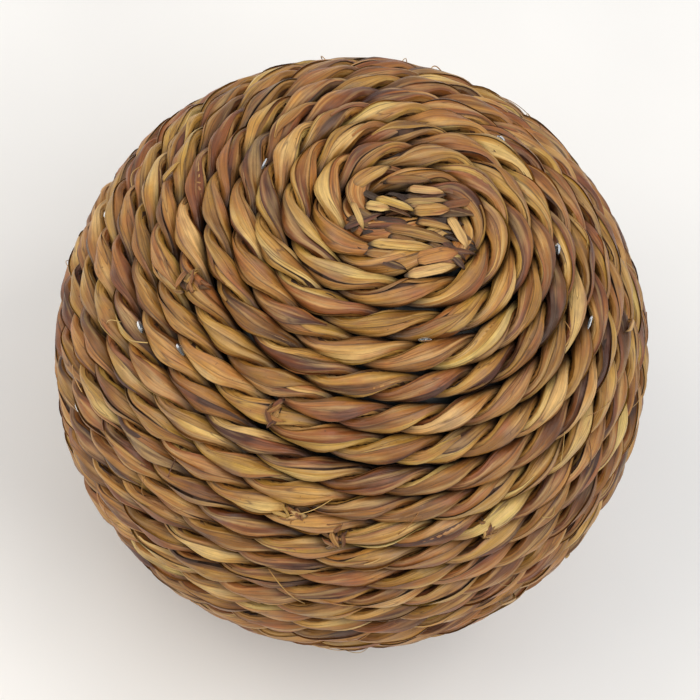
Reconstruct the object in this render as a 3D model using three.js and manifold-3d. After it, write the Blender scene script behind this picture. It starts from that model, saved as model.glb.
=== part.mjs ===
// A decorative ball: twisted two-ply leaf rope wound in one spiral round a dark core ball, from the eye on
// top to a small flat foot underneath. Millimetres, +Z up, the origin in the middle of the foot.
import * as THREE from "three";
import { mergeVertices } from "three/addons/utils/BufferGeometryUtils.js";
import Module from "manifold-3d";

// Driving dimensions
const BALL_DIAMETER = 150; // over the crests of the rope
const FOOT_DIAMETER = 26; // the flat spot that the ball rests on
const EYE_DIAMETER = 6; // the hole that the first turn of the rope leaves on top
const OVAL_REACH = 6.5; // how far the short hairpin in the eye pushes the first turns out at its two ends
const OVAL_FADE = 35; // how far from the top that oval dies away to a third
const OVAL_START = 3; // how far from the top it begins
const OVAL_SQUARE = 5; // how straight its two long sides are
const OVAL_AZIMUTH = THREE.MathUtils.degToRad(22); // its long way
const TURNS = 30.5; // turns of the rope from the top to the foot
const PLY_DIAMETER = 4.4; // each of the two plies of the rope
const PLY_SPACING = 3; // from the middle of one ply to the middle of the other
const LAY_LENGTH = 35; // along the rope, one full twist of its two plies, long enough for COLUMNS to follow
const GROOVE_DEPTH = 2.8; // from the crests down to where neighbouring turns meet
const CORE_GAP = 0.3; // between the rope and the core ball
const COLUMNS = 70; // corners of the rope's surface round the ball
const CORE_SIDES = 24; // sides of the core ball and of the hollow that it fills
const EYE_SIDES = 12;

// Sizes that follow from them
const BALL_RADIUS = BALL_DIAMETER / 2;
const FOOT_RADIUS = FOOT_DIAMETER / 2;
const CENTRE_HEIGHT = Math.sqrt(BALL_RADIUS ** 2 - FOOT_RADIUS ** 2);
const ROPE_DIAMETER = PLY_DIAMETER + PLY_SPACING;
const AXIS_RADIUS = BALL_RADIUS - ROPE_DIAMETER / 2; // from the ball's centre to the middle of the rope
const HOLLOW_RADIUS = BALL_RADIUS - ROPE_DIAMETER;
const PITCH = Math.PI / TURNS; // the angle from one turn to the next, seen from the ball's centre
const FOOT_ANGLE = Math.asin(FOOT_RADIUS / BALL_RADIUS);

const { clamp, smoothstep } = THREE.MathUtils;
const wasm = await Module();
wasm.setup();

// The length of rope from the eye to a turning angle, in radians, counted clockwise from above.
function ropeLength(turning) {
  return (AXIS_RADIUS / PITCH) * 2 * Math.PI * (1 - Math.cos((turning * PITCH) / (2 * Math.PI)));
}

// Where the oval of the eye moves a place on the ball: out along its long way, to the side that it lies on.
// The result is laid out flat round the top, at distances measured along the rope's middle sphere.
function inOval(fromTop, azimuth) {
  const reach = fromTop * AXIS_RADIUS;
  const round = azimuth - OVAL_AZIMUTH;
  const begun = 1 - Math.exp(-((reach / OVAL_START) ** 2));
  const left = Math.exp(-reach / OVAL_FADE) * (1 - fromTop / Math.PI);
  const push = OVAL_REACH * begun * left * Math.tanh(OVAL_SQUARE * Math.cos(round));
  return new THREE.Vector2(reach * Math.cos(round) + push, reach * Math.sin(round));
}

// A point at a distance from the ball's centre, an angle down from the top and an azimuth.
function ballPoint(distance, fromTop, azimuth) {
  const place = inOval(fromTop, azimuth);
  const turned = Math.min(place.length() / AXIS_RADIUS, Math.PI);
  const facing = place.angle() + OVAL_AZIMUTH;
  return new THREE.Vector3(
    distance * Math.sin(turned) * Math.cos(facing),
    distance * Math.sin(turned) * Math.sin(facing),
    distance * Math.cos(turned) + CENTRE_HEIGHT,
  );
}

// How much of the relief is left at an angle from the top: it is pressed flat on the foot.
function relief(fromTop) {
  return smoothstep(Math.PI - fromTop, FOOT_ANGLE, FOOT_ANGLE + PITCH);
}

// The ridge of the ply that lies on top, where the rope has turned so far round the ball. As the rope runs
// on, the ply climbs over from the inner side of the turn to the outer side, and the other ply takes over.
function ridgePoint(fromTop, turning, azimuth) {
  const twist = ((2 * Math.PI * ropeLength(turning)) / LAY_LENGTH) % Math.PI;
  const rise = (PLY_SPACING / 2) * Math.sin(twist) + PLY_DIAMETER / 2;
  const aside = (-PLY_SPACING / 2) * Math.cos(twist);
  const kept = relief(fromTop);
  return ballPoint(
    BALL_RADIUS - kept * (ROPE_DIAMETER / 2 - rise),
    clamp(fromTop + (kept * aside) / AXIS_RADIUS, 0, Math.PI),
    azimuth,
  );
}

function groovePoint(fromTop, azimuth) {
  return ballPoint(BALL_RADIUS - relief(fromTop) * GROOVE_DEPTH, fromTop, azimuth);
}

// The outside of the wound rope: a sphere's grid whose rows slide down by one turn as they go once round, a
// row in each groove between turns and a row on each ridge. Rows past the top or the foot close at the pole.
function ropeSurface() {
  const rows = 2 * (TURNS + 1);
  const grid = new THREE.SphereGeometry(BALL_RADIUS, COLUMNS, rows);
  const position = grid.getAttribute("position");
  for (let row = 0, i = 0; row <= rows; row++) {
    for (let column = 0; column <= COLUMNS; column++, i++) {
      const round = column / COLUMNS;
      const turnsDown = row / 2 - round;
      const fromTop = clamp(turnsDown * PITCH, 0, Math.PI);
      const azimuth = 2 * Math.PI * round + OVAL_AZIMUTH;
      const atPole = fromTop === 0 || fromTop === Math.PI;
      const point =
        row % 2 && !atPole
          ? ridgePoint(fromTop, 2 * Math.PI * turnsDown, azimuth)
          : groovePoint(fromTop, azimuth);
      position.setXYZ(i, point.x, point.y, point.z);
    }
  }
  return grid;
}

// A three.js geometry as a solid that can be joined and cut.
function solid(geometry) {
  const bare = geometry.clone();
  bare.deleteAttribute("normal");
  bare.deleteAttribute("uv");
  const merged = mergeVertices(bare, 1e-3);
  const corners = merged.index.array;
  const faces = [];
  for (let i = 0; i < corners.length; i += 3) {
    const [a, b, c] = corners.slice(i, i + 3);
    if (a !== b && b !== c && c !== a) faces.push(a, b, c);
  }
  return new wasm.Manifold(
    new wasm.Mesh({
      numProp: 3,
      vertProperties: merged.getAttribute("position").array,
      triVerts: new Uint32Array(faces),
    }),
  );
}

function geometryOf(made) {
  const { vertProperties, triVerts } = made.getMesh();
  return new THREE.BufferGeometry()
    .setAttribute("position", new THREE.BufferAttribute(vertProperties, 3))
    .setIndex(new THREE.BufferAttribute(triVerts, 1));
}

function coreGeometry(radius) {
  return new THREE.SphereGeometry(radius, CORE_SIDES, CORE_SIDES / 2)
    .rotateX(Math.PI / 2)
    .translate(0, 0, CENTRE_HEIGHT);
}

// The rope as one body: hollow where the core ball sits, open at the eye and flat below.
function ropeGeometry() {
  const hollow = coreGeometry(HOLLOW_RADIUS);
  const eye = new THREE.CylinderGeometry(EYE_DIAMETER / 2, EYE_DIAMETER / 2, BALL_RADIUS, EYE_SIDES)
    .rotateX(Math.PI / 2)
    .translate(0, 0, CENTRE_HEIGHT + BALL_RADIUS);
  const belowFoot = new THREE.BoxGeometry(BALL_DIAMETER, BALL_DIAMETER, ROPE_DIAMETER).translate(
    0,
    0,
    -ROPE_DIAMETER / 2,
  );
  const cuts = [hollow, eye, belowFoot].map(solid);
  return geometryOf(solid(ropeSurface()).subtract(wasm.Manifold.union(cuts)));
}

function mesh(name, geometry, color, roughness) {
  const made = new THREE.Mesh(geometry, new THREE.MeshStandardMaterial({ color, roughness, metalness: 0 }));
  made.name = name;
  return made;
}

const ball = new THREE.Group();
ball.add(mesh("wound_rope", ropeGeometry(), "#8e6a47", 0.6));
ball.add(mesh("core_ball", coreGeometry(HOLLOW_RADIUS - CORE_GAP), "#23262b", 0.55));

export default ball;
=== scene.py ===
"""A decorative ball: two-ply leaf rope wound in one spiral round a dark core ball, on a pale floor."""

import math

import bpy
import numpy as np
from mathutils import Matrix, Vector


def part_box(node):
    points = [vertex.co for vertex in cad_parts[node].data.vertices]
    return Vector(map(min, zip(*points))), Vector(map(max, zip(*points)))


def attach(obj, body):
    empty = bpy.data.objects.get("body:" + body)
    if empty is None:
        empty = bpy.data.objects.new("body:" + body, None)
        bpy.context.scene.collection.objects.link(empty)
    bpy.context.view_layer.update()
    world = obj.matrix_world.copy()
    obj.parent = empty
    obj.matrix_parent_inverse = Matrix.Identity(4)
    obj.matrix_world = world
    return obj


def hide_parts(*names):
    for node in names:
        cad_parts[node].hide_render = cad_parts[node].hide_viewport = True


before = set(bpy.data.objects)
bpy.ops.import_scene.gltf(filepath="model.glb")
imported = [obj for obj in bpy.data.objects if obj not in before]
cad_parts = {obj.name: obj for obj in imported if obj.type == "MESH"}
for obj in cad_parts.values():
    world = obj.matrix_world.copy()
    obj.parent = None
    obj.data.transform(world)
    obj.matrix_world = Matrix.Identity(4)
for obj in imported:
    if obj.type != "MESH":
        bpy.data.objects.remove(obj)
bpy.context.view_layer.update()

MM = 0.001

# ---------------------------------------------------------------- sizes, in millimetres and radians

core_low, core_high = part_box("core_ball")
rope_low, rope_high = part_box("wound_rope")
CENTRE = np.array((core_low + core_high) / 2) / MM
BALL_RADIUS = (rope_high.x - rope_low.x) / 2 / MM

TURNS = 30.5  # turns of rope from the eye on top to the foot
PITCH = math.pi / TURNS  # the angle between turns, from the ball's centre
LAY_LENGTH = 29.5  # along the rope, one full twist of its two plies
PLY_OUT = 1.35  # from the rope's middle to the widest part of a ply
PLY_CREST = 2.0  # from there out to the ply's crest
PLY_BACK = 1.3  # and from there back towards the rope's middle
PLY_WIDE = 2.7  # half the width of a ply
PLY_SPREAD = 0.1  # how much wider it is where it lies on top, as a share
LEAF_RISE = 0.35  # how far the leaves stand out from the crest
ROPE_RADIUS = PLY_OUT + PLY_CREST + LEAF_RISE
ROPE_INSET = 0.15  # how far the crests stay inside the solid rope
AXIS_RADIUS = BALL_RADIUS - ROPE_RADIUS - ROPE_INSET  # from the ball's centre to the middle of the rope
EYE_HALF = 6.5  # half the length of the straight hairpin that the rope starts with
EYE_REACH = 35.0  # how far from the middle of the eye that oval dies away
EYE_AZIMUTH = math.radians(202)  # where the free end of the hairpin points
EYE_SQUARE = 5.0  # how straight the long sides of the hairpin are
EYE_SUNK = 0.9  # how far the rope's start is pressed in
EYE_SLIM = 0.3  # how much narrower its leaves are there
EYE_FADE = 60.0  # along the rope, how soon that is gone
ROPE_START = 0.09  # the turn at which the rope starts
FINE_STEP = 0.85  # between sections along the rope, in the tight turns of the eye
FINE_END = 90.0
STEP = 1.7  # and after them

rng = np.random.default_rng(7)


# ---------------------------------------------------------------- the rope's path

def ball_path(turning):
    """Points on the unit ball for turning angles from the eye, clockwise from above. The first turns lie
    round a short straight hairpin, and the oval that it makes dies away down the ball."""
    reach = turning * PITCH / (2 * np.pi) * AXIS_RADIUS
    hairpin = EYE_HALF * np.exp(-reach / EYE_REACH) * np.tanh(EYE_SQUARE * np.cos(turning))
    along = reach * np.cos(turning) + hairpin
    aside = -reach * np.sin(turning)
    x = along * math.cos(EYE_AZIMUTH) - aside * math.sin(EYE_AZIMUTH)
    y = along * math.sin(EYE_AZIMUTH) + aside * math.cos(EYE_AZIMUTH)
    from_eye = np.hypot(x, y)
    from_top = np.minimum(from_eye / AXIS_RADIUS, np.pi)
    scale = np.sin(from_top) / np.maximum(from_eye, 1e-6)
    return np.stack([x * scale, y * scale, np.cos(from_top)], axis=1)


def unit(vectors):
    return vectors / np.linalg.norm(vectors, axis=1, keepdims=True)


def ease(share):
    """0 to 1 with a soft start and end."""
    share = np.clip(share, 0, 1)
    return share * share * (3 - 2 * share)


def drift(places, reach, amount, draw=rng):
    """A smooth random walk along the rope that changes over about reach millimetres."""
    knots = draw.standard_normal(int(places.max() / reach) + 3)
    at = places / reach
    low = at.astype(int)
    share = ease(at - low)
    return amount * (knots[low] * (1 - share) + knots[low + 1] * share)


class Rope:
    """The rope's middle line, its frame and its twist at steps along its length."""

    def __init__(self):
        turning = np.linspace(2 * np.pi * ROPE_START, 2 * np.pi * TURNS, 200000)
        on_ball = ball_path(turning)
        run = np.concatenate([[0], np.cumsum(np.linalg.norm(np.diff(on_ball, axis=0), axis=1))]) * AXIS_RADIUS
        self.length = run[-1]
        self.at = np.concatenate([np.arange(0, FINE_END, FINE_STEP), np.arange(FINE_END, self.length, STEP)])
        self.turning = np.interp(self.at, run, turning)
        on_ball = ball_path(self.turning)
        self.outward = unit(on_ball)
        ahead = unit(np.gradient(on_ball, self.at, axis=0))
        self.aside = unit(np.cross(self.outward, ahead))
        wander = drift(self.at, 40, 0.25) + drift(self.at, 150, 0.15)
        height = np.minimum(drift(self.at, 55, 0.22) - 0.15, 0.1) - EYE_SUNK * np.exp(-self.at / EYE_FADE)
        self.middle = on_ball * (AXIS_RADIUS + height)[:, None] + self.aside * wander[:, None]
        self.twist = np.pi - 2 * np.pi * self.at / LAY_LENGTH + drift(self.at, 70, 0.35)
        self.fullness = [np.minimum(1 + drift(self.at, 30, 0.07), 1.06) for _ in range(2)]

    def between(self, start, end):
        """The sections from start to end, in millimetres along the rope."""
        first = np.searchsorted(self.at, start)
        last = np.searchsorted(self.at, end)
        return np.arange(max(first, 0), min(last + 1, len(self.at)))

    def around_ply(self, ply, sections, angle, rise):
        """Points round one ply, and how far out of the rope's middle they lie. Angle is counted from the
        ply's crest, and rise is how far out the points lie from its oval. Both have one row for each
        section."""
        twist = (self.twist[sections] + ply * np.pi)[:, None]
        full = self.fullness[ply][sections][:, None]
        facing = np.cos(angle)
        outer = facing > 0
        deep = PLY_OUT + (np.where(outer, PLY_CREST, PLY_BACK) + np.where(outer, rise, 0.3 * rise)) * facing
        wide = (PLY_WIDE * (1 + PLY_SPREAD * np.sin(twist)) + rise) * np.sin(angle)
        aside = (deep * np.cos(twist) - wide * np.sin(twist)) * full
        up = (deep * np.sin(twist) + wide * np.cos(twist)) * full
        points = (
            self.middle[sections][:, None, :]
            + self.aside[sections][:, None, :] * aside[..., None]
            + self.outward[sections][:, None, :] * up[..., None]
        )
        # how far out of the rope's middle: the leaf material paints shade from it, darker towards the middle
        return points, up / ROPE_RADIUS


rope = Rope()


# ---------------------------------------------------------------- meshes

SHARP_ANGLE = math.radians(26)  # faces that meet at more than this keep a crisp edge between them
FOOT_SOFT = 1.6  # the height above the floor under which the rope is pressed flat
FOOT_PRESS = 0.25  # how much further down the lowest points are pressed


def settle(points):
    """Moves points from the ball's centre to their place, presses what would go through the floor flat, and
    clips what would stand out of the box of the solid rope."""
    placed = points + CENTRE
    low = placed[..., 2] < FOOT_SOFT
    pressed = FOOT_SOFT * np.exp((placed[..., 2] - FOOT_SOFT) / FOOT_SOFT)
    placed[..., 2] = np.where(low, pressed, placed[..., 2])
    placed[..., 2] -= FOOT_PRESS * np.clip(1 - placed[..., 2] / FOOT_SOFT, 0, 1)
    return np.clip(placed, np.array(rope_low) / MM, np.array(rope_high) / MM)


def skin(count, sides, first=0):
    """Faces of a closed tube of count sections with so many sides, and of its two flat ends."""
    ring = np.arange(sides)
    base = first + np.arange(count - 1)[:, None] * sides
    a, b = base + ring, base + (ring + 1) % sides
    wall = np.stack([a, b, b + sides, a + sides], axis=2).reshape(-1, 4)
    fan = np.arange(1, sides - 1)
    near = np.stack([0 * fan, fan + 1, fan], axis=1) + first
    far = np.stack([0 * fan, fan, fan + 1], axis=1) + first + (count - 1) * sides
    return wall.tolist() + near.tolist() + far.tolist()


def piece_from(name, points, faces, material, uv=None, attributes=None):
    """A new object from points in millimetres, with a UV pair and named numbers for each point."""
    mesh = bpy.data.meshes.new(name)
    mesh.from_pydata(points * MM, [], faces)
    if uv is not None:
        layer = mesh.uv_layers.new(name="leaf")
        corners = np.zeros(len(mesh.loops), np.int32)
        mesh.loops.foreach_get("vertex_index", corners)
        layer.data.foreach_set("uv", uv[corners].astype(np.float32).ravel())
    for key, values in (attributes or {}).items():
        mesh.attributes.new(key, "FLOAT", "POINT").data.foreach_set("value", values.astype(np.float32))
    mesh.polygons.foreach_set("use_smooth", np.ones(len(mesh.polygons), bool))
    mesh.set_sharp_from_angle(angle=SHARP_ANGLE)
    mesh.materials.append(material)
    made = bpy.data.objects.new(name, mesh)
    bpy.context.scene.collection.objects.link(made)
    return made


class Strips:
    """Leaf strips that are gathered into one piece, with the numbers that their material reads."""

    def __init__(self):
        self.parts, self.faces, self.count = [], [], 0

    def add(self, points, uv, out, tone, seed):
        sections, sides = points.shape[:2]
        many = sections * sides
        self.faces += skin(sections, sides, self.count)
        tones = np.broadcast_to(tone, (sections, sides)).ravel()
        self.parts.append((points.reshape(-1, 3), uv.reshape(-1, 2), out.ravel(), tones, [seed] * many))
        self.count += many

    def piece(self, name, material):
        points, uv, out, tone, seed = (np.concatenate(values) for values in zip(*self.parts))
        numbers = {"out": out, "tone": tone, "seed": seed}
        return piece_from(name, settle(points), self.faces, material, uv, numbers)


# ---------------------------------------------------------------- materials

def linear(colour):
    """An sRGB hex colour as linear RGBA."""
    parts = [int(colour[i : i + 2], 16) / 255 for i in (1, 3, 5)]
    return tuple(c / 12.92 if c <= 0.04045 else ((c + 0.055) / 1.055) ** 2.4 for c in parts) + (1.0,)


def add(tree, kind, links=None, inputs=None, **settings):
    """Adds a node with its settings, its constant inputs and its links, and returns it."""
    made = tree.nodes.new("ShaderNode" + kind)
    for key, value in settings.items():
        setattr(made, key, value)
    for key, value in (inputs or {}).items():
        made.inputs[key].default_value = value
    for key, source in (links or {}).items():
        tree.links.new(source, made.inputs[key])
    return made


def ramp(tree, source, stops):
    """A colour ramp with stops of place and sRGB colour."""
    made = add(tree, "ValToRGB", {"Fac": source})
    bar = made.color_ramp
    while len(bar.elements) < len(stops):
        bar.elements.new(1.0)
    for element, (place, colour) in zip(bar.elements, stops):
        element.position = place
        element.color = linear(colour)
    return made.outputs["Color"]


def new_material(name):
    material = bpy.data.materials.new(name)
    material.use_nodes = True
    tree = material.node_tree
    return material, tree, tree.nodes["Principled BSDF"]


def dried_leaf():
    """Dried sea-grass leaf: flat, fibrous and satin, straw and tan to brown, with painted shade where the
    twist
    shades it: darker towards the rope's middle, and along each leaf's edges."""
    material, tree, shader = new_material("dried sea-grass leaf")
    uv = add(tree, "UVMap", uv_map="leaf").outputs["UV"]
    split = add(tree, "SeparateXYZ", {"Vector": uv})
    across, along = split.outputs["X"], split.outputs["Y"]
    tone = add(tree, "Attribute", attribute_name="tone").outputs["Fac"]
    seed = add(tree, "Attribute", attribute_name="seed").outputs["Fac"]
    out = add(tree, "Attribute", attribute_name="out").outputs["Fac"]

    def grain(width, length, detail, rough=0.55, shift=0.0):
        """Noise with features of a width across the leaf and a length along it, in millimetres."""
        x = add(tree, "Math", {0: across}, {1: LEAF_WIDTH / width}, operation="MULTIPLY").outputs[0]
        y = add(tree, "Math", {0: along}, {1: 1 / length}, operation="MULTIPLY").outputs[0]
        z = add(tree, "Math", {0: seed}, {1: 91.0, 2: shift}, operation="MULTIPLY_ADD").outputs[0]
        place = add(tree, "CombineXYZ", {"X": x, "Y": y, "Z": z}).outputs[0]
        return add(
            tree, "TexNoise", {"Vector": place}, {"Scale": 1.0, "Detail": detail, "Roughness": rough}
        ).outputs["Fac"]

    def level(value, low, high, start, end):
        """Value between low and high as start to end."""
        ends = {"From Min": low, "From Max": high, "To Min": start, "To Max": end}
        return add(tree, "MapRange", {"Value": value}, ends).outputs[0]

    def blend(share, colour, other):
        """Colour with a share of the other one, which is given as hex."""
        return add(tree, "MixRGB", {"Fac": share, "Color1": colour}, {"Color2": linear(other)}).outputs[0]

    def times(colour, value):
        return add(
            tree, "MixRGB", {"Color1": colour, "Color2": value}, {"Fac": 1.0}, blend_type="MULTIPLY"
        ).outputs[0]

    fibres = grain(0.42, 12, 4, 0.65)
    streaks = grain(1.4, 18, 2, 0.5, 13.0)
    folds = grain(1.8, 34, 1, 0.5, 29.0)
    slow = grain(9, 16, 1, 0.5, 37.0)
    mottle = grain(1.2, 2.4, 4, 0.7, 51.0)
    red = grain(3.5, 12, 2, 0.5, 67.0)
    grey = grain(4, 10, 2, 0.5, 75.0)
    specks = grain(0.6, 0.9, 2, 0.5, 83.0)
    dents = grain(2.4, 6, 2, 0.5, 97.0)

    lighter = level(slow, 0.3, 0.7, -0.25, 0.25)
    moved = add(tree, "Math", {0: tone, 1: lighter}, operation="ADD", use_clamp=True)
    colour = ramp(tree, moved.outputs[0], LEAF_TONES)
    colour = add(
        tree, "HueSaturation", {"Hue": level(seed, 0, 1, 0.486, 0.511), "Color": colour}, {"Saturation": 1.1}
    ).outputs[0]
    colour = blend(level(red, 0.52, 0.7, 0, 0.6), colour, "#9a5730")
    colour = blend(level(grey, 0.55, 0.75, 0, 0.5), colour, "#7d6152")
    colour = blend(level(streaks, 0.5, 0.7, 0, 0.5), colour, "#cfa96c")
    colour = times(colour, level(mottle, 0.25, 0.75, 0.85, 1.14))
    colour = times(colour, level(fibres, 0.36, 0.64, 0.74, 1.22))
    off_fold = add(tree, "Math", {0: folds}, {1: 0.5}, operation="SUBTRACT").outputs[0]
    off_fold = add(tree, "Math", {0: off_fold}, operation="ABSOLUTE").outputs[0]
    fold = level(off_fold, 0.0, 0.014, 0.6, 0)
    colour = blend(fold, colour, "#4a2e1b")
    colour = blend(level(specks, 0.7, 0.78, 0, 0.6), colour, "#3a2418")
    off_middle = add(tree, "Math", {0: across}, {1: 0.5}, operation="SUBTRACT").outputs[0]
    off_middle = add(tree, "Math", {0: off_middle}, operation="ABSOLUTE").outputs[0]
    # painted shade: a dark line along both edges of each leaf, for the shaded seams between leaves
    colour = blend(level(off_middle, 0.44, 0.5, 0, 0.75), colour, "#3a2214")
    # painted shade: darker and dark brown towards the rope's middle, in the grooves between plies and turns
    colour = blend(level(out, 0.62, -0.1, 0, 0.9), colour, "#22140c")
    tree.links.new(colour, shader.inputs["Base Color"])

    tree.links.new(level(mottle, 0.3, 0.7, 0.33, 0.56), shader.inputs["Roughness"])
    height = add(tree, "Math", {0: fibres, 1: mottle}, operation="ADD").outputs[0]
    height = add(tree, "Math", {0: height, 1: fold}, operation="SUBTRACT").outputs[0]
    height = add(tree, "Math", {0: dents, 2: height}, {1: DENT_SHARE}, operation="MULTIPLY_ADD").outputs[0]
    bump = add(tree, "Bump", {"Height": height}, {"Strength": 0.9, "Distance": LEAF_RELIEF * MM})
    tree.links.new(bump.outputs[0], shader.inputs["Normal"])
    return material


def hidden_leaf():
    """The same leaf deep inside a ply, coloured as painted shade: dull and dark red-brown."""
    material, tree, shader = new_material("sea-grass leaf in painted shade")
    place = add(tree, "TexCoord").outputs["Object"]
    patches = add(tree, "TexNoise", {"Vector": place}, {"Scale": 1 / (4 * MM), "Detail": 3.0}).outputs["Fac"]
    tree.links.new(ramp(tree, patches, [(0.3, "#24160e"), (0.7, "#54351f")]), shader.inputs["Base Color"])
    shader.inputs["Roughness"].default_value = 0.7
    bump = add(tree, "Bump", {"Height": patches}, {"Strength": 0.5, "Distance": 0.2 * MM})
    tree.links.new(bump.outputs[0], shader.inputs["Normal"])
    return material


def core_skin():
    """The core ball's painted skin: slate black with paler patches, slightly uneven and half glossy."""
    material, tree, shader = new_material("painted core")
    place = add(tree, "TexCoord").outputs["Object"]
    patches = add(tree, "TexNoise", {"Vector": place}, {"Scale": 1 / (6 * MM), "Detail": 4.0}).outputs["Fac"]
    tree.links.new(ramp(tree, patches, [(0.3, "#0b0d0f"), (0.7, "#1d2327")]), shader.inputs["Base Color"])
    shader.inputs["Roughness"].default_value = 0.4
    bump = add(tree, "Bump", {"Height": patches}, {"Strength": 0.4, "Distance": 0.3 * MM})
    tree.links.new(bump.outputs[0], shader.inputs["Normal"])
    return material


def clear_glue():
    """Hot-melt glue: clear and bluish white, with a smooth, wet gloss and slight waves."""
    material, tree, shader = new_material("hot-melt glue")
    place = add(tree, "TexCoord").outputs["Object"]
    waves = add(tree, "TexNoise", {"Vector": place}, {"Scale": 1 / (1.5 * MM), "Detail": 2.0}).outputs["Fac"]
    tree.links.new(ramp(tree, waves, [(0.3, "#6f7a82"), (0.7, "#a9b3ba")]), shader.inputs["Base Color"])
    shader.inputs["Roughness"].default_value = 0.16
    shader.inputs["IOR"].default_value = 1.49
    shader.inputs["Transmission Weight"].default_value = 0.85
    bump = add(tree, "Bump", {"Height": waves}, {"Strength": 0.5, "Distance": 0.2 * MM})
    tree.links.new(bump.outputs[0], shader.inputs["Normal"])
    return material


def pale_floor():
    """A matt pale board, with a faint unevenness."""
    material, tree, shader = new_material("pale board")
    place = add(tree, "TexCoord").outputs["Object"]
    patches = add(tree, "TexNoise", {"Vector": place}, {"Scale": 1 / (60 * MM), "Detail": 2.0}).outputs["Fac"]
    tree.links.new(ramp(tree, patches, [(0.3, "#f1f0ee"), (0.7, "#f5f4f2")]), shader.inputs["Base Color"])
    shader.inputs["Roughness"].default_value = 0.8
    return material


LEAF_WIDTH = 4.5
LEAF_RELIEF = 0.14  # of the fibres
DENT_SHARE = 3.0  # how much deeper the leaf's dents are
LEAF_TONES = [
    (0.0, "#452817"),
    (0.15, "#694225"),
    (0.32, "#865a33"),
    (0.5, "#9b6f3f"),
    (0.66, "#a67b47"),
    (0.82, "#b88e52"),
    (1.0, "#cfae74"),
]

LEAF = dried_leaf()
HIDDEN = hidden_leaf()


# ---------------------------------------------------------------- the rope's leaves

LANES = 4  # leaves side by side round each ply
LEAF_TURN = 42.0  # along the rope, one turn of the leaves round their ply, against the rope's twist
LEAF_HALF = (44.0, 66.0)  # half the angle in degrees that a leaf takes round its ply
LEAF_THICK = 0.3
LEAF_LENGTHS = (80.0, 260.0)
TIP = 11.0  # how much of a leaf's end narrows
OVER = 0.2  # how far a leaf's edge lies over or under its neighbour's
CREASE = 0.035  # half the width of a crease, as a share of the leaf's
# The facet of each point round a leaf: seven points on its outer side, then two on its inner one
FACET_OF_SIDE = [0, 0, 1, 1, 2, 2, 2, 2, 0]
FACET_PAINTED_LIGHT = 0.17  # painted light and shade: how much lighter or darker than its leaf a facet is, at random, for lit and shaded facets

edge_draw = np.random.default_rng(41)
junctions = [
    [OVER * np.tanh(2.5 * drift(rope.at, 60, 1.0, edge_draw)) for _ in range(LANES)] for _ in range(2)
]


def leaf_strip(ply, lane, start, end, draw):
    """One leaf of a ply: points, UVs, how far out they lie and how much lighter or darker its facets are
    painted, as painted light and shade. Flat facets meet at two creases, each edge lies over or under its
    neighbour's, the near tip lies on the leaf before it and the far tip under the next one."""
    sections = rope.between(start, end)
    at = rope.at[sections]
    run = at - at[0]
    near, far = ease(run / TIP), ease((at[-1] - at) / TIP)
    half = np.radians(draw.uniform(*LEAF_HALF)) * (1 + drift(run, 50, 0.12, draw))
    half = half * (0.12 + 0.88 * near) * (0.12 + 0.88 * far) * (1 - EYE_SLIM * np.exp(-at / EYE_FADE))
    middle = 2 * np.pi * (lane / LANES + at / LEAF_TURN) + drift(run, 45, 0.16, draw)
    first = draw.uniform(0.2, 0.42) + drift(run, 40, 0.04, draw)
    second = draw.uniform(0.58, 0.8) + drift(run, 40, 0.04, draw)
    across = np.stack(
        [0 * at, first - CREASE, first + CREASE, second - CREASE, second + CREASE, 0 * at + 0.95, 0 * at + 1]
        + [0 * at + 0.85, 0 * at + 0.15],
        axis=1,
    )
    left, right = -junctions[ply][lane - 1][sections], junctions[ply][lane][sections]
    crown = drift(run, 40, 0.06, draw)
    lie = 0.14 * (1 - near) - 0.45 * (1 - far)
    rise = (
        LEAF_RISE - OVER
        + lie[:, None]
        + left[:, None]
        + (right - left)[:, None] * across
        + crown[:, None] * np.sin(np.pi * across)
    )
    rise[:, -2:] -= LEAF_THICK
    points, out = rope.around_ply(ply, sections, middle[:, None] + half[:, None] * (2 * across - 1), rise)
    uv = np.stack(np.broadcast_arrays(across, at[:, None]), axis=2)
    # painted light and shade: each facet lighter or darker than its leaf at random, for lit and shaded facets
    facets = np.stack([drift(run, 30, FACET_PAINTED_LIGHT, draw) for _ in range(3)], axis=1)
    return points, uv, out, facets[:, FACET_OF_SIDE]


def build_leaves():
    """All leaves of the rope, as pieces of a third of the rope for each ply."""
    draw = np.random.default_rng(23)
    pieces = []
    for ply in (0, 1):
        zones = {"upper": Strips(), "middle": Strips(), "lower": Strips()}
        for lane in range(LANES):
            start = -draw.uniform(TIP, LEAF_LENGTHS[1])
            while start < rope.length - 3 * TIP:
                end = start + draw.uniform(*LEAF_LENGTHS)
                tone, seed = draw.beta(2.2, 2.0), draw.uniform()
                if end > TIP * 2:
                    points, uv, out, shade = leaf_strip(ply, lane, start, end, draw)
                    place = np.clip((start + end) / 2 / rope.length, 0, 0.999)
                    list(zones.values())[int(place * 3)].add(points, uv, out, tone + shade, seed)
                start = end - TIP
        pieces += [strips.piece(f"rope_ply_{ply + 1}_{zone}", LEAF) for zone, strips in zones.items()]
    return pieces


def build_ply_cores():
    """The inner leaves of both plies, which only show as a dark filling between the outer ones, coloured as
    painted shade.
    """
    sides = 6
    sections = np.arange(len(rope.at))[::2]
    angle = np.broadcast_to(np.linspace(0, 2 * np.pi, sides, endpoint=False), (len(sections), sides))
    points = [rope.around_ply(ply, sections, angle, np.full_like(angle, -0.25))[0] for ply in (0, 1)]
    faces = [skin(len(sections), sides), skin(len(sections), sides, len(sections) * sides)]
    return piece_from(
        "rope_inner_leaves",
        settle(np.concatenate([p.reshape(-1, 3) for p in points])),
        faces[0] + faces[1],
        HIDDEN,
    )


# ---------------------------------------------------------------- loose ends on the rope

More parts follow.
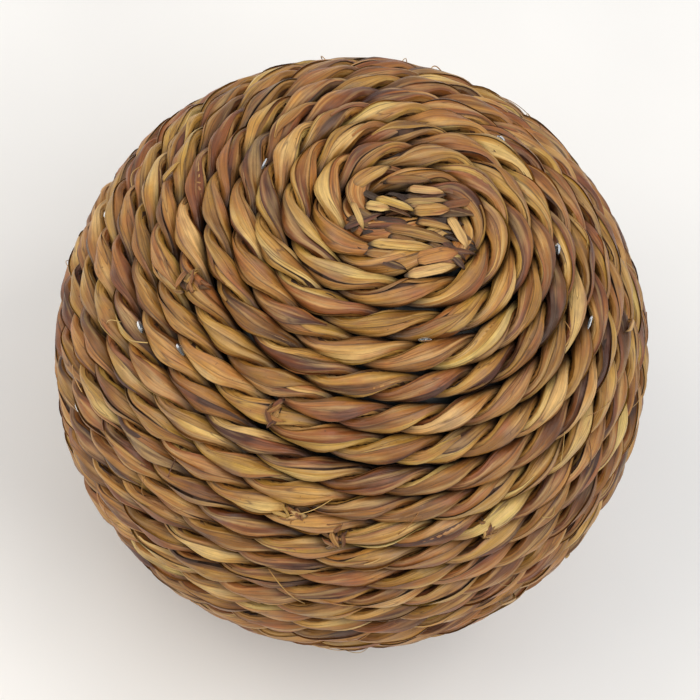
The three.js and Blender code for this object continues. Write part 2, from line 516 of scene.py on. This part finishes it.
CREST = AXIS_RADIUS + ROPE_RADIUS  # from the ball's centre to the crests of the rope
SHRED_THICK = 0.3
SHRED_DIVE = 1.3  # how far its ends dive into the rope
SHRED_TOP = 0.9  # the highest that one stands over the crests
SHRED_ACROSS = np.array([-1, -0.35, 0.35, 1, 0.8, -0.8])  # places across a shred: four outside, two inside
SHRED_CROWN = np.array([0.0, 0.22, 0.22, 0.0, -SHRED_THICK, -SHRED_THICK])
SHRED_LINE = np.linspace(0, 1, 12)

# Leaf ends in the eye: millimetres along its long way and across it, direction, length, width and tone
EYE_LEAVES = [
    (-8.2, -0.7, -14, 6.5, 2.6, 1.3),
    (-4.4, 0.4, -18, 10.5, 2.2, 0.85),
    (3.3, 4.0, -6, 9.5, 2.2, 0.9),
    (4.4, -1.2, 8, 10.0, 3.2, 0.65),
    (10.9, -5.4, -62, 9.5, 2.6, 1.1),
    (4.9, -4.6, -4, 9.5, 1.8, 0.6),
    (0.0, -6.8, -9, 19.0, 2.8, 0.28),
    (-3.6, -10.6, -5, 16.5, 2.6, 0.95),
    (-6.3, -12.9, -8, 13.0, 2.2, 0.55),
    (4.9, -12.6, 18, 12.0, 3.6, 0.6),
    (3.6, -16.6, 12, 13.5, 2.6, 0.9),
    (-12.5, -2.0, -70, 9.0, 1.5, 0.95),
    (-9.5, 7.6, 38, 12.0, 3.2, 0.8),
    (-1.0, 6.8, 4, 12.0, 2.4, 0.1),
]

EYE_SHREDS = 46  # smaller leaf ends between and under them
KNOT_SHREDS = 14  # shreds in a frayed knot

KNOT_COUNT = 9  # frayed knots, where leaves were added to the rope
SINGLE_ENDS = 7  # single leaf ends that lie on the rope
FIBRE_COUNT = 54  # thin fibres that cling to it
GLUE_COUNT = 22  # beads of glue that well up in the grooves between turns
POLE_FREE = 0.8  # these keep to this share of the ball's height, clear of the eye and the foot


def on_skin(azimuth, from_top, heading, run, aside, height):
    """Points over the rope's crests: run ahead and aside from a place, both along the ball's skin."""
    round_, down, turn = np.radians((azimuth, from_top, heading))
    outward = np.array([math.sin(down) * math.cos(round_), math.sin(down) * math.sin(round_), math.cos(down)])
    south = np.array([math.cos(down) * math.cos(round_), math.cos(down) * math.sin(round_), -math.sin(down)])
    east = np.array([-math.sin(round_), math.cos(round_), 0.0])
    ahead = math.cos(turn) * south + math.sin(turn) * east
    side = math.cos(turn) * east - math.sin(turn) * south
    flat = outward * CREST + run[..., None] * ahead + aside[..., None] * side
    return flat / np.linalg.norm(flat, axis=-1, keepdims=True) * (CREST + height)[..., None]


def shred(strips, place, length, width, lift, curl, sway, tone, seed):
    """A short loose leaf end round a place, along a heading. It lies at a height of lift and dives into the
    rope at both ends, or curls up by an angle, and it sways to one side."""
    step = length / (len(SHRED_LINE) - 1)
    tilt = curl * SHRED_LINE**1.5
    run = np.cumsum(np.cos(tilt)) * step - length / 2
    dive = SHRED_DIVE * np.abs(2 * SHRED_LINE - 1) ** 6 * (1 - min(curl, 1))
    high = np.minimum(lift + np.cumsum(np.sin(tilt)) * step - dive, SHRED_TOP)
    half = width / 2 * np.minimum(1, 0.2 + 5 * SHRED_LINE) * np.minimum(1, 0.05 + 3 * (1 - SHRED_LINE))
    crown = SHRED_CROWN * width / 2
    crown[-2:] = -SHRED_THICK
    aside = half[:, None] * SHRED_ACROSS + (sway * SHRED_LINE**2)[:, None]
    along = run[:, None] - crown * np.sin(tilt)[:, None]
    height = high[:, None] + crown * np.cos(tilt)[:, None]
    points = on_skin(*place, along, aside, height)
    uv = np.stack(np.broadcast_arrays((SHRED_ACROSS + 1) / 2, (SHRED_LINE * length)[:, None]), axis=2)
    # painted shade: shreds that lie below the crests get a lower out, which the leaf material paints darker
    out = np.broadcast_to(0.9 + np.minimum(high, 0)[:, None], aside.shape)
    strips.add(points, uv, out, tone, seed)


def eye_place(along, across, heading):
    """A place in the eye as azimuth, angle from the top and heading on the ball."""
    azimuth = math.degrees(EYE_AZIMUTH + math.pi + math.atan2(across, along))
    from_top = math.degrees(math.hypot(along, across) / CREST)
    return azimuth, from_top, math.degrees(EYE_AZIMUTH + math.pi) + heading - azimuth


def anywhere(draw):
    """A place anywhere on the ball's sides, with any heading."""
    from_top = math.degrees(math.acos(draw.uniform(-POLE_FREE, POLE_FREE)))
    return draw.uniform(-180, 180), from_top, draw.uniform(0, 360)


def thread(strips, place, length, thick, height, bend, tone, seed, even):
    """A round thread that follows the ball's skin, bends to one side and dips at its ends. Even is its
    form: 1 is as thick all along, 0 is a bead."""
    ring = np.linspace(0, 2 * np.pi, 6, endpoint=False)
    arch = np.sin(np.pi * SHRED_LINE)
    radius = (thick / 2 * (even + (1 - even) * np.sqrt(0.02 + arch)))[:, None]
    run = ((SHRED_LINE - 0.5) * length)[:, None] + 0 * ring
    aside = (bend * arch * length / 6)[:, None] - radius * np.cos(ring)
    high = (height - 1.2 * even * (1 - arch))[:, None] + radius * np.sin(ring)
    points = on_skin(*place, run, aside, high)
    uv = np.stack(np.broadcast_arrays(0.5 + 0.1 * np.sin(ring), (SHRED_LINE * length)[:, None]), axis=2)
    strips.add(points, uv, np.ones(aside.shape), tone, seed)


def build_loose_ends():
    """The leaf ends that fill the eye, single ends, and the frayed knots where leaves were added to the
    rope."""
    draw = np.random.default_rng(61)
    strips = Strips()
    for along, across, heading, length, width, tone in EYE_LEAVES:
        place = eye_place(along, across, heading)
        lift, sway = draw.uniform(-0.4, 0), draw.uniform(-0.8, 0.8)
        shred(strips, place, length, width, lift, 0.0, sway, tone, draw.uniform())
    for _ in range(EYE_SHREDS):
        place = eye_place(draw.uniform(-12, 12), draw.uniform(-15, 5), draw.normal(-6, 14))
        length, width = draw.uniform(6, 13), draw.uniform(0.9, 2.1)
        lift, sway, tone = draw.uniform(-1.3, -0.4), draw.uniform(-0.8, 0.8), draw.uniform(-0.1, 1.0)
        shred(strips, place, length, width, lift, 0.0, sway, tone, draw.uniform())
    for _ in range(SINGLE_ENDS):
        length, width, lift = draw.uniform(4.5, 7), draw.uniform(1.6, 2.4), draw.uniform(0, 0.3)
        shred(strips, anywhere(draw), length, width, lift, 0.0, 0.3, draw.uniform(0.8, 1.15), draw.uniform())
    for _ in range(KNOT_COUNT):
        azimuth, from_top, _heading = anywhere(draw)
        size, tone = draw.uniform(5, 8), draw.uniform(0.2, 0.9)
        for _shred in range(KNOT_SHREDS):
            near = draw.normal(0, size / 6, 2) / CREST
            place = (
                azimuth + math.degrees(near[0]) / math.sin(math.radians(from_top)),
                from_top + math.degrees(near[1]),
                draw.uniform(0, 360),
            )
            length, width = size * draw.uniform(0.35, 0.8), draw.uniform(0.6, 1.5)
            lift = draw.uniform(-1.2, -0.1)
            curl, sway, shade = draw.uniform(0, 0.6), draw.uniform(-2.2, 2.2), draw.uniform(-0.4, 0.3)
            shred(strips, place, length, width, lift, curl, sway, tone + shade, draw.uniform())
    return strips.piece("loose_leaf_ends", LEAF)


def build_fibres():
    """Thin fibres that have come off the leaves and cling to the rope."""
    draw = np.random.default_rng(67)
    strips = Strips()
    for _ in range(FIBRE_COUNT):
        length, thick, height = draw.uniform(4, 15), draw.uniform(0.14, 0.32), draw.uniform(-0.2, 0.5)
        bend, tone = draw.uniform(-1, 1), draw.uniform(0.1, 1.5)
        thread(strips, anywhere(draw), length, thick, height, bend, tone, draw.uniform(), 1.0)
    return strips.piece("loose_fibres", LEAF)


def groove_place(turning):
    """A place in the groove between a turn of the rope and the next, where the rope has turned so far."""
    here = unit(ball_path(np.array([turning, turning + 2 * np.pi])).sum(axis=0, keepdims=True))[0]
    return math.degrees(math.atan2(here[1], here[0])), math.degrees(math.acos(here[2])), 90.0


def build_glue():
    """Beads of clear glue that hold the rope to the core, where they well up in the grooves."""
    draw = np.random.default_rng(71)
    strips = Strips()
    for _ in range(GLUE_COUNT):
        place = groove_place(2 * np.pi * draw.uniform(3, TURNS - 4))
        length, thick, height = draw.uniform(2, 5), draw.uniform(0.8, 1.5), draw.uniform(-1.9, -1.3)
        thread(strips, place, length, thick, height, 0.3, 0.5, draw.uniform(), 0.0)
    return strips.piece("glue_beads", clear_glue())


# ---------------------------------------------------------------- camera, floor and lights

CAMERA_ELEVATION = math.radians(60.3)
CAMERA_ROLL = math.radians(21.7)
CAMERA_DISTANCE = 10 * BALL_RADIUS * MM
FRAME_FILL = 0.853  # the ball's radius, as a share of half the picture
FRAME_ASIDE, FRAME_DOWN = 0.0015, 0.0045  # how far the ball sits from its middle, as a share of the picture


def aim(thing, place, target, roll=0.0):
    turn = (Vector(target) - Vector(place)).to_track_quat("-Z", "Y").to_matrix().to_4x4()
    thing.matrix_world = Matrix.Translation(place) @ turn @ Matrix.Rotation(roll, 4, "Z")


def set_camera():
    data = bpy.data.cameras.new("camera")
    camera = bpy.data.objects.new("camera", data)
    bpy.context.scene.collection.objects.link(camera)
    centre = Vector(CENTRE * MM)
    back = Vector((0, -math.cos(CAMERA_ELEVATION), math.sin(CAMERA_ELEVATION)))
    aim(camera, centre + back * CAMERA_DISTANCE, centre, CAMERA_ROLL)
    half_view = math.tan(math.asin(BALL_RADIUS * MM / CAMERA_DISTANCE)) / FRAME_FILL
    data.lens = data.sensor_width / 2 / half_view
    data.shift_x, data.shift_y = -FRAME_ASIDE, FRAME_DOWN
    data.clip_start = 10 * MM
    bpy.context.scene.camera = camera
    return camera


def soft_light(name, camera, aside, above, distance, width, height, power, colour):
    """A light panel that faces the ball, at angles aside and above from the camera's line of sight."""
    data = bpy.data.lights.new(name, "AREA")
    data.shape = "RECTANGLE"
    data.size, data.size_y = width, height
    data.energy = power
    data.color = linear(colour)[:3]
    panel = bpy.data.objects.new(name, data)
    bpy.context.scene.collection.objects.link(panel)
    turn = Matrix.Rotation(math.radians(aside), 4, "Y") @ Matrix.Rotation(-math.radians(above), 4, "X")
    frame_of_view = camera.matrix_world.to_3x3().to_4x4()
    panel.matrix_world = (
        Matrix.Translation(CENTRE * MM) @ frame_of_view @ turn @ Matrix.Translation((0, 0, distance))
    )


def set_studio(camera):
    bpy.ops.object.select_all(action="DESELECT")
    bpy.ops.mesh.primitive_plane_add(size=6.0, location=(0, 0, 0))
    floor = bpy.context.object
    floor.name = "floor"
    floor.data.materials.append(pale_floor())
    soft_light(
        "window", camera, aside=31, above=6, distance=1.2, width=0.24, height=1.1, power=5.5, colour="#fffaf2"
    )
    soft_light(
        "front", camera, aside=-32, above=22, distance=1.4, width=1.0, height=1.0, power=7.5, colour="#fff6e6"
    )
    world = bpy.data.worlds.new("room")
    world.use_nodes = True
    world.node_tree.nodes["Background"].inputs["Color"].default_value = linear("#f3f6fb")
    world.node_tree.nodes["Background"].inputs["Strength"].default_value = 0.72
    bpy.context.scene.world = world
    bpy.context.scene.view_settings.view_transform = "Standard"


# ---------------------------------------------------------------- putting it together

set_studio(set_camera())

rope_pieces = build_leaves() + [build_ply_cores(), build_loose_ends(), build_fibres(), build_glue()]
for made in rope_pieces:
    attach(made, "root")
    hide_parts("wound_rope")

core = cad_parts["core_ball"]
core.data.materials.clear()
core.data.materials.append(core_skin())
